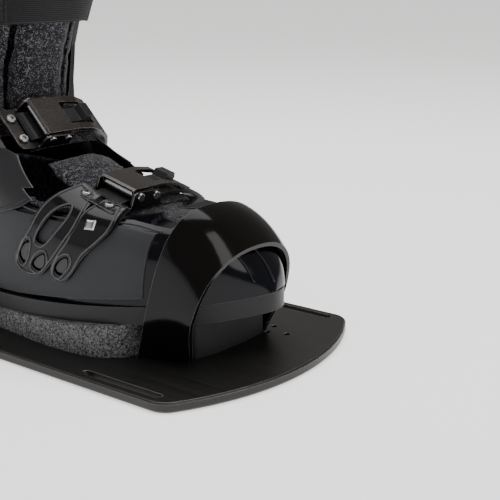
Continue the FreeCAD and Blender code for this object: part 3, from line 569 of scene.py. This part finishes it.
def stitch_row(line, sizes, lift=0.0001):
    """Row of separate arched stitches along a laid line: vertices and faces."""
    verts, faces = [], []
    sides, rings = 6, 5
    for point, normal, heading in spaced(line, sizes.stitch + sizes.stitch_gap):
        side = normal.cross(heading).normalized()
        start = len(verts)
        for r in range(rings):
            t = r / (rings - 1)
            arch = math.sin(math.pi * t)
            thick = sizes.thread * (0.45 + 0.55 * arch)
            centre = (point + heading * (t - 0.5) * sizes.stitch
                      + normal * (lift + arch * sizes.thread * 0.8))
            for k in range(sides):
                turn = 2 * math.pi * k / sides
                verts.append(centre + side * thick * math.cos(turn)
                             + normal * thick * math.sin(turn))
        for r in range(rings - 1):
            a, b = start + r * sides, start + (r + 1) * sides
            faces += [(a + k, a + (k + 1) % sides, b + (k + 1) % sides, b + k)
                      for k in range(sides)]
        faces.append(tuple(start + k for k in range(sides)))
        faces.append(tuple(start + (rings - 1) * sides + k for k in range(sides)))
    return verts, faces


def joined(parts):
    verts, faces = [], []
    for some, more in parts:
        start = len(verts)
        verts += some
        faces += [tuple(start + i for i in face) for face in more]
    return verts, faces


def turned(profile, place, axis, count=24):
    """Solid of revolution from (radius, height) points about an axis at a place."""
    axis = Vector(axis).normalized()
    across = axis.orthogonal().normalized()
    other = axis.cross(across)
    verts, faces = [], []
    for radius, height in profile:
        for k in range(count):
            turn = 2 * math.pi * k / count
            verts.append(Vector(place) + axis * height
                         + (across * math.cos(turn) + other * math.sin(turn)) * radius)
    for r in range(len(profile) - 1):
        a, b = r * count, (r + 1) * count
        faces += [(a + k, a + (k + 1) % count, b + (k + 1) % count, b + k)
                  for k in range(count)]
    faces.append(tuple(range(count)))
    last = (len(profile) - 1) * count
    faces.append(tuple(range(last, last + count)))
    return verts, faces


# ------------------------------------------------------------------ padding
def settled(obj):
    """The object's mesh with its modifiers applied."""
    graph = bpy.context.evaluated_depsgraph_get()
    return bpy.data.meshes.new_from_object(obj.evaluated_get(graph))


def remeshed(node, name, voxel, shrink):
    """Even closed copy of a node's solid, smoothed and drawn in a little."""
    obj = bpy.data.objects.new(name, NODES[node].data.copy())
    bpy.context.scene.collection.objects.link(obj)
    step = obj.modifiers.new("even", "REMESH")
    step.mode = "VOXEL"
    step.voxel_size = voxel
    mesh = settled(obj)
    bpy.data.objects.remove(obj)
    work = bmesh.new()
    work.from_mesh(mesh)
    for _ in range(3):
        bmesh.ops.smooth_vert(work, verts=work.verts, factor=0.5, use_axis_x=True,
                              use_axis_y=True, use_axis_z=True)
    work.normal_update()
    for vert in work.verts:
        vert.co -= vert.normal * shrink
    work.to_mesh(mesh)
    work.free()
    return mesh


def swollen(mesh, name, sizes, pressure=4.0):
    """Short cloth run under pressure, with every point's rise capped."""
    scene = bpy.context.scene
    obj = bpy.data.objects.new(name + "_run", mesh)
    scene.collection.objects.link(obj)
    cloth = obj.modifiers.new("swell", "CLOTH")
    cloth.settings.quality = 4
    cloth.settings.use_pressure = True
    cloth.settings.uniform_pressure_force = pressure
    cloth.settings.effector_weights.gravity = 0.0
    cloth.point_cache.frame_start = 1
    cloth.point_cache.frame_end = sizes.frames
    for step in range(1, sizes.frames + 1):
        scene.frame_set(step)
    run = settled(obj)
    for vert, rest in zip(run.vertices, mesh.vertices):
        move = vert.co - rest.co
        if move.length > sizes.swell:
            vert.co = rest.co + move * (sizes.swell / move.length)
    bpy.data.objects.remove(obj)
    scene.frame_set(1)
    return run


def press_channels(mesh, channels):
    """Presses sewn channels: each is (distance function, half width, depth)."""
    work = bmesh.new()
    work.from_mesh(mesh)
    work.normal_update()
    for vert in work.verts:
        push = 0.0
        for distance, half, depth in channels:
            away = abs(distance(vert.co)) / half
            if away < 2.5:
                push += depth * math.exp(-away * away)
        vert.co -= vert.normal * push
    work.to_mesh(mesh)
    work.free()


def padded_piece(name, node, body, finish, sizes, channels=(), levels=1,
                 shrink=0.0014, swell=True, voxel=None):
    mesh = remeshed(node, name, voxel or sizes.voxel, shrink)
    if swell:
        mesh = swollen(mesh, name, sizes)
    press_channels(mesh, channels)
    mesh.materials.clear()
    obj = finish_piece(mesh, name, body, finish)
    if levels:
        rounder = obj.modifiers.new("round", "SUBSURF")
        rounder.levels = levels
        rounder.render_levels = levels
    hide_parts(node)
    return obj


# ------------------------------------------------------------------ operators
class BOOT_OT_finishes(bpy.types.Operator):
    """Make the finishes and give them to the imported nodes"""

    bl_idname = "boot.finishes"
    bl_label = "Finishes"

    def execute(self, context):
        prepare_finishes(context.scene.boot_colours)
        wanted = {n: key for key, nodes in NODE_FINISH.items() for n in nodes}
        for key, parts in BUCKLE_FINISH.items():
            for place in ("instep_", "ankle_"):
                wanted.update({place + part: key for part in parts})
        for node, key in wanted.items():
            mesh = NODES[node].data
            mesh.materials.clear()
            mesh.materials.append(FINISHES[key])
        return {"FINISHED"}


# sewn channels: along the tongue, and up the shin tongue and the collar
TONGUE_SEAMS = (0.036, 0.052, 0.100)
SHIN_SEAMS = (0.150, 0.176, 0.202, 0.226)
COLLAR_SEAMS = (0.168, 0.226)


class BOOT_OT_padding(bpy.types.Operator):
    """Padded liner, tongue, cuff liner, shin tongue and strap pads"""

    bl_idname = "boot.padding"
    bl_label = "Padded parts"

    def execute(self, context):
        sizes = context.scene.boot_sizes
        rows = [lambda p, at=at: p.x - at for at in TONGUE_SEAMS]
        padded_piece("padded_tongue", "tongue", BASE, "textile", sizes,
                     [(row, 0.0014, 0.0011) for row in rows])
        shins = [lambda p, at=at: p.z - at for at in SHIN_SEAMS]
        padded_piece("padded_shin_tongue", "shin_tongue", CUFF, "textile",
                     sizes, [(s, 0.0016, 0.0012) for s in shins])
        collar = [lambda p, at=at: p.z - at for at in COLLAR_SEAMS]
        padded_piece("padded_cuff_liner", "cuff_liner", CUFF, "textile",
                     sizes, [(c, 0.0016, 0.0013) for c in collar], swell=False)
        for place, body in (("instep", BASE), ("ankle", CUFF)):
            node = place + "_strap_pad"
            padded_piece("padded_" + node, node, body, "textile", sizes,
                         swell=False, shrink=0.0001, voxel=0.0009)
        padded_piece("padded_liner", "liner_boot", BASE, "textile",
                     sizes, swell=False, shrink=0.0006)
        return {"FINISHED"}


# raised rims round the windows and keyholes of the two arms: x, z in millimetres
ARM_OUTLINES = {
    "arm_rear": ((59.5, 104.0), (50.5, 98.5), (43.0, 88.0), (36.5, 77.0), (30.0, 67.0),
                 (24.5, 54.5), (32.0, 48.5), (45.0, 49.5), (54.0, 57.0), (64.0, 69.0),
                 (72.0, 83.0), (70.5, 95.0)),
    "arm_front": ((81.5, 99.0), (74.0, 94.0), (71.0, 86.0), (66.0, 74.0), (58.5, 62.0),
                  (55.0, 52.0), (62.0, 48.0), (70.0, 53.5), (79.0, 65.5), (88.0, 75.0),
                  (93.0, 83.0), (91.0, 91.0)),
}
ARM_OPENINGS = {
    "arm_rear": (
        ((61.5, 92.0), (54.5, 89.0), (48.0, 80.0), (43.5, 71.0), (49.5, 69.5),
         (57.0, 77.5), (63.5, 86.0)),
        ((38.0, 70.5), (32.5, 68.0), (28.5, 59.0), (32.0, 55.0), (36.0, 62.0)),
        ((50.0, 64.5), (44.0, 61.5), (39.0, 55.0), (44.5, 52.5), (51.0, 58.5)),
    ),
    "arm_front": (
        ((68.0, 65.0), (62.0, 62.0), (58.0, 54.5), (62.5, 52.5), (69.0, 60.0)),
    ),
}


class BOOT_OT_arm_rims(bpy.types.Operator):
    """Raised rims on the two arms, pale grey as a painted highlight"""

    bl_idname = "boot.arm_rims"
    bl_label = "Arm rims"

    def execute(self, context):
        radius = context.scene.boot_sizes.bead
        for node, outline in ARM_OUTLINES.items():
            surface = Surface(node)
            loops = [curve_through(grown(outline, -2.0))]
            loops += [curve_through(grown(hole, 1.5)) for hole in ARM_OPENINGS[node]]
            parts = [bead(lay_side(surface, loop, -1), radius, True) for loop in loops]
            new_piece(node + "_rims", *joined(parts), BASE, "bead", "stud_grey")
        return {"FINISHED"}


# moulded lines: name, node, side, points, closed, finish, body
SIDE_LINES = (
    ("rim_bead_lateral", "lower_shell", -1,
     ((-36, 110.5), (-4, 94.5), (20, 90.2), (40, 86.5), (70, 84.4), (97, 84.4),
      (117, 81.0)), "bead", BASE),
    ("rim_bead_medial", "lower_shell", 1,
     ((-36, 110.5), (-4, 94.5), (20, 90.2), (40, 86.5), (70, 84.4), (97, 84.4),
      (117, 81.0)), "bead", BASE),
    ("cuff_line_low", "cuff", -1,
     ((-128, 84), (-100, 84), (-60, 81.5), (-10, 83.5), (14, 86.5), (30, 92),
      (42, 99.5)), "cuff", CUFF),
    ("cuff_line_high", "cuff", -1,
     ((-44, 200), (-46, 175), (-44, 150), (-30, 132), (-12, 119)), "cuff", CUFF),
    ("cuff_line_high_medial", "cuff", 1,
     ((-44, 200), (-46, 175), (-44, 150), (-30, 132)), "cuff", CUFF),
    ("heel_line_lateral", "heel_counter", -1,
     ((-128, 72), (-104, 70), (-84, 58), (-80, 38)), "panel", BASE),
    ("heel_line_medial", "heel_counter", 1,
     ((-128, 72), (-104, 70), (-84, 58), (-80, 38)), "panel", BASE),
)
FRONT_RIDGES = (
    ("cap_ridge_outer", ((-14, 79.5), (-10, 71.0), (-5.0, 60.0), (-2, 50.0))),
    ("cap_ridge_inner", ((2, 80.5), (5.5, 71.0), (10.5, 59.0), (13.0, 47.0))),
)


class BOOT_OT_moulded_lines(bpy.types.Operator):
    """Beads and ridges moulded on the shell, the cuff and the toe cap"""

    bl_idname = "boot.moulded_lines"
    bl_label = "Moulded lines"

    def execute(self, context):
        radius = context.scene.boot_sizes.bead
        slots = {"lower_shell": "shell_black", "cuff": "shell_black",
                 "heel_counter": "panel_grey"}
        for name, node, side, points, finish, body in SIDE_LINES:
            line = lay_side(Surface(node), curve_through(points, False, 8), side)
            new_piece(name, *bead(line, radius, False), body, finish, slots[node])
        cap = Surface("lower_shell")
        for name, points in FRONT_RIDGES:
            line = lay_front(cap, curve_through(points, False, 8))
            new_piece(name, *bead(line, 1.4 * radius, False), BASE, "shell",
                      "shell_black")
        return {"FINISHED"}


class BOOT_OT_stitching(bpy.types.Operator):
    """Rows of stitches beside the tongue's sewn channels"""

    bl_idname = "boot.stitching"
    bl_label = "Stitching"

    def execute(self, context):
        sizes = context.scene.boot_sizes
        tongue = Surface("tongue")
        beside, half_width, step = 2.4, 32, 4
        rows = [[(at / MM + side, y) for y in range(-half_width, half_width + 1, step)]
                for at in TONGUE_SEAMS for side in (-beside, beside)]
        parts = [stitch_row(lay_top(tongue, row), sizes, -0.0004) for row in rows]
        new_piece("tongue_stitching", *joined(parts), BASE, "thread", "liner_textile")
        return {"FINISHED"}


def strap_ring(surface, centre, first, last, heights, steps=72):
    """Rows of outer points round the cuff between two angles."""
    rows = []
    for i in range(steps + 1):
        turn = first + (last - first) * i / steps
        heading = Vector((math.cos(turn), math.sin(turn), 0))
        row = hits(surface.meet(Vector((centre.x, centre.y, z)) + heading * 0.3, -heading)
                   for z in heights)
        if len(row) == len(heights):
            rows.append(row)
    return rows


def strap_solid(rows, thick, lift=0.0):
    """Closed webbing with rounded edges from rows of laid points."""
    verts, faces = [], []
    across = len(rows[0])
    ring = 2 * across
    for row in rows:
        outer, inner = [], []
        for k, (point, normal) in enumerate(row):
            edge = min(k, across - 1 - k)
            full = 0.45 if edge == 0 else 1.0
            top = point + normal * (lift + (thick / 2) * full - thick / 2)
            outer.append(top)
            inner.append(point + normal * (lift - thick / 2 - (thick / 2) * full))
        verts += outer + inner[::-1]
    for i in range(len(rows) - 1):
        a, b = i * ring, (i + 1) * ring
        faces += [(a + k, a + (k + 1) % ring, b + (k + 1) % ring, b + k)
                  for k in range(ring)]
    faces.append(tuple(range(ring)))
    last = (len(rows) - 1) * ring
    faces.append(tuple(range(last, last + ring)))
    return verts, faces


WEBBING_THICK = 0.0016
FLAP_THICK, FLAP_LIFT = 0.0014, 0.0015
HOOKS_THICK, HOOKS_LIFT = 0.0008, 0.0007
SEAM_INSET = 0.0045             # the flap's stitches in from the webbing's edges
BUTT_SEAMS = (-108, -100, -58)  # degrees round the cuff of the flap's cross seams


class BOOT_OT_power_strap(bpy.types.Operator):
    """Webbing strap round the top of the cuff, with its hook-and-loop end"""

    bl_idname = "boot.power_strap"
    bl_label = "Power strap"

    def execute(self, context):
        sizes = context.scene.boot_sizes
        surface = Surface("power_strap")
        low, high = Vector(STRAP_LOW), Vector(STRAP_HIGH)
        centre = Vector((0.5 * (CUFF_LOW[0] + CUFF_HIGH[0]) - 0.012, 0.0, 0.0))
        zs = [low.z + (high.z - low.z) * t for t in (0.0, 0.03, 0.12, 0.3, 0.5, 0.7, 0.88,
                                                     0.97, 1.0)]
        inset = 0.0006
        zs = [min(max(z, low.z + inset), high.z - inset) for z in zs]
        first, last = math.radians(-148), math.radians(148)
        rows = strap_ring(surface, centre, first, last, zs, 96)
        obj = new_piece("power_strap_webbing", *strap_solid(rows, WEBBING_THICK), CUFF,
                        "webbing", "webbing")
        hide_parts("power_strap")
        flap = strap_ring(surface, centre, math.radians(-112), math.radians(-52),
                          zs[1:-1], 30)
        new_piece("power_strap_flap", *strap_solid(flap, FLAP_THICK, FLAP_LIFT), CUFF,
                  "webbing", "webbing")
        patch = strap_ring(surface, centre, math.radians(-50), math.radians(-34),
                           zs[2:-2], 10)
        new_piece("power_strap_hooks", *strap_solid(patch, HOOKS_THICK, HOOKS_LIFT), CUFF,
                  "hooks", "webbing")
        lines = []
        for z in (low.z + SEAM_INSET, high.z - SEAM_INSET):
            ring = strap_ring(surface, centre, math.radians(-110), math.radians(-54), [z],
                              30)
            lines.append([(p + n * FLAP_LIFT, n) for ((p, n),) in ring])
        for turn in BUTT_SEAMS:
            edge = strap_ring(surface, centre, math.radians(turn), math.radians(turn),
                              [low.z + 0.005 + 0.0035 * k for k in range(5)], 1)[0]
            lines.append([(p + n * FLAP_LIFT, n) for p, n in edge])
        parts = [stitch_row(line, sizes) for line in lines]
        new_piece("power_strap_stitching", *joined(parts), CUFF, "thread", "webbing")
        return {"FINISHED"}


class BOOT_OT_rivets(bpy.types.Operator):
    """Domed rivets on the cuff and a square one on the front arm"""

    bl_idname = "boot.rivets"
    bl_label = "Rivets"

    def execute(self, context):
        cuff = Surface("cuff")
        dome = [(0.0, 0.0016), (0.0018, 0.0015), (0.0034, 0.0010), (0.0042, 0.0002),
                (0.0042, -0.0006), (0.0, -0.0006)]
        dome = [(max(r, 0.00005), h) for r, h in dome]
        spots = (("cuff_rivet_lateral", -1, (-20.0, 108.0)),
                 ("cuff_rivet_medial", 1, (-30.0, 108.0)),
                 ("strap_rivet_lateral", -1, (-92.0, 204.0)))
        for name, side, (x, z) in spots:
            (point, normal), = lay_side(cuff, [(x, z)], side)
            new_piece(name, *turned(dome, point, normal), CUFF, "steel", "bright_steel")
        (point, normal), = lay_side(Surface("arm_front"), [(80.0, 84.0)], -1)
        square = [(max(r * 1.05, 0.00005), h) for r, h in dome[:-1]] + [(0.0001, -0.0006)]
        new_piece("arm_rivet", *turned(square, point, normal, 4), BASE, "steel",
                  "bright_steel", False)
        return {"FINISHED"}


# ------------------------------------------------------------------ stage
def studio_world():
    """Even studio surround: cool grey at the horizon, warm grey overhead."""
    world = bpy.data.worlds.new("studio")
    world.use_nodes = True
    bpy.context.scene.world = world
    nodes, links = world.node_tree.nodes, world.node_tree.links
    where = nodes.new("ShaderNodeTexCoord")
    split = nodes.new("ShaderNodeSeparateXYZ")
    ramp = nodes.new("ShaderNodeValToRGB")
    horizon, zenith = ramp.color_ramp.elements
    horizon.position, horizon.color = 0.0, (0.26, 0.26, 0.275, 1.0)
    zenith.position, zenith.color = 0.22, (0.36, 0.335, 0.315, 1.0)
    links.new(where.outputs["Generated"], split.inputs[0])
    links.new(split.outputs["Z"], ramp.inputs[0])
    links.new(ramp.outputs[0], nodes["Background"].inputs["Color"])
    nodes["Background"].inputs["Strength"].default_value = 0.9


def area_light(name, place, target, size, power, tint=(1.0, 1.0, 1.0)):
    lamp = bpy.data.lights.new(name, "AREA")
    lamp.shape = "RECTANGLE"
    lamp.size, lamp.size_y = size
    lamp.energy = power
    lamp.color = tint
    obj = bpy.data.objects.new(name, lamp)
    obj.location = place
    heading = Vector(target) - Vector(place)
    obj.rotation_euler = heading.to_track_quat("-Z", "Y").to_euler()
    bpy.context.scene.collection.objects.link(obj)


class BOOT_OT_stage(bpy.types.Operator):
    """Pale floor, soft light and the camera"""

    bl_idname = "boot.stage"
    bl_label = "Stage"

    def execute(self, context):
        studio = context.scene.boot_studio
        half, gap, white = 14.0, 0.0002, 0.93
        mesh = bpy.data.meshes.new("floor")
        mesh.from_pydata([(-half, -half, 0), (half, -half, 0), (half, half, 0),
                          (-half, half, 0)], [], [(0, 1, 2, 3)])
        floor = bpy.data.objects.new("floor", mesh)
        floor.location = (0.0, 0.0, CAD_BOX[0][2] - gap)
        context.scene.collection.objects.link(floor)
        pale = Finish("pale_floor")
        mesh.materials.append(pale.give(Base_Color=(white, white, white, 1.0), Roughness=0.85,
                                        Emission_Color=(1.0, 1.0, 1.0, 1.0),
                                        Emission_Strength=0.80))
        studio_world()
        area_light("overhead", (0.0, 0.25, 1.5), (0.0, 0.0, 0.05), (1.6, 1.2), 26.0)
        area_light("front_left", (-0.6, -1.5, 0.9), (0.0, 0.0, 0.08), (2.2, 1.8), 8.0,
                   (0.97, 0.98, 1.0))
        area_light("toe_side", (1.5, 0.3, 0.8), (0.05, 0.0, 0.06), (0.5, 0.9), 6.0,
                   (1.0, 0.97, 0.94))
        lens = bpy.data.cameras.new("camera")
        lens.lens = studio.lens
        lens.sensor_width = 36.0
        lens.clip_start = 0.01
        eye = bpy.data.objects.new("camera", lens)
        eye.location = studio.eye
        eye.rotation_euler = (math.pi / 2 - studio.pitch, 0.0, studio.azimuth)
        context.scene.collection.objects.link(eye)
        context.scene.camera = eye
        return {"FINISHED"}


class BOOT_PT_panel(bpy.types.Panel):
    """Steps that dress the binding boot"""

    bl_idname = "BOOT_PT_panel"
    bl_label = "Binding boot"
    bl_space_type = "VIEW_3D"
    bl_region_type = "UI"
    bl_category = "Binding boot"

    def draw(self, context):
        for group in (context.scene.boot_colours, context.scene.boot_sizes,
                      context.scene.boot_studio):
            for key in group.bl_rna.properties.keys():
                if key not in ("rna_type", "name"):
                    self.layout.prop(group, key)
        for step in STEPS:
            self.layout.operator(step.bl_idname)


GROUPS = {"boot_colours": BootColours, "boot_sizes": BootSizes,
          "boot_studio": StudioSettings}
STEPS = (BOOT_OT_finishes, BOOT_OT_padding, BOOT_OT_arm_rims, BOOT_OT_moulded_lines,
         BOOT_OT_stitching, BOOT_OT_power_strap, BOOT_OT_rivets, BOOT_OT_stage)


def register():
    for name, group in GROUPS.items():
        bpy.utils.register_class(group)
        setattr(bpy.types.Scene, name, PointerProperty(type=group))
    for step in STEPS:
        bpy.utils.register_class(step)
    bpy.utils.register_class(BOOT_PT_panel)


def unregister():
    bpy.utils.unregister_class(BOOT_PT_panel)
    for step in reversed(STEPS):
        bpy.utils.unregister_class(step)
    for name, group in GROUPS.items():
        delattr(bpy.types.Scene, name)
        bpy.utils.unregister_class(group)


def main():
    register()
    for step in STEPS:
        group, action = step.bl_idname.split(".")
        getattr(getattr(bpy.ops, group), action)()


if __name__ == "__main__":
    main()
